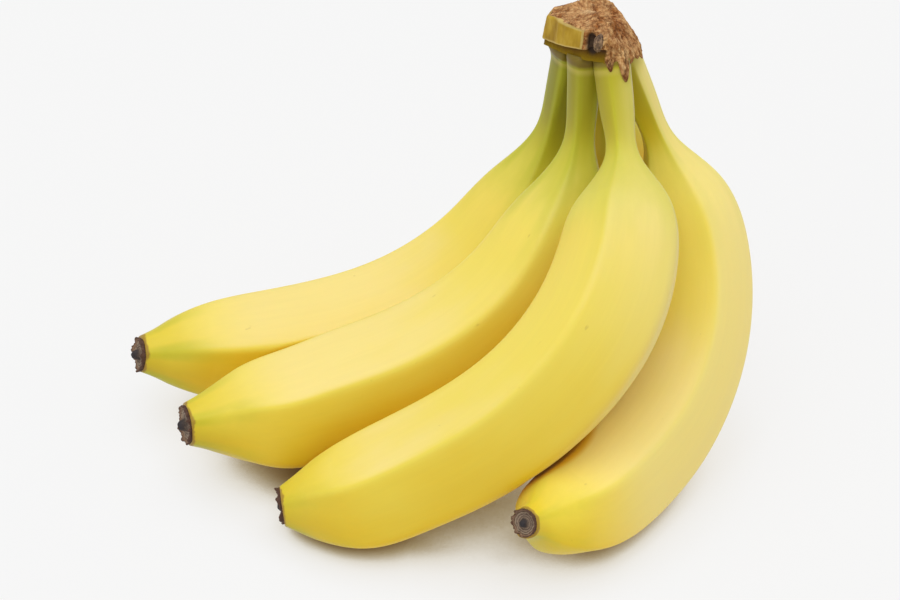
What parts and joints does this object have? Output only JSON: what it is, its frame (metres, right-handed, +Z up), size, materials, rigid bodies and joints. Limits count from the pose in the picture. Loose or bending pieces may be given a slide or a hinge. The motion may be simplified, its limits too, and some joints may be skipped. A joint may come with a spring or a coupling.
{
  "type": "bunch of bananas",
  "caption": "Bunch of ripe bananas on one brown crown, resting on the bellies with the necks rising together and the tips fanned out.",
  "frame": {"origin": "on the ground under the middle of the bunch's bounding box, with the bananas resting on their bellies", "axes": "+Z up; +X from the fanned tips toward the crown's side; -Y toward the side the front tips point to"},
  "size_m": [0.1884, 0.1436, 0.1322],
  "materials": {
    "peel": "satin, softly waxy peel",
    "dried_blossom": "matte, dry and ragged",
    "crown_bark": "matte, fibrous dried cut"
  },
  "bodies": {
    "root": {"banana_left": "peel", "banana_centre_left": "peel", "banana_centre_right": "peel", "banana_right": "peel", "banana_back": "peel", "blossom_end_left": "dried_blossom", "blossom_end_centre_left": "dried_blossom", "blossom_end_centre_right": "dried_blossom", "blossom_end_right": "dried_blossom", "blossom_end_back": "dried_blossom", "crown": "crown_bark"}
  },
  "joints": []
}
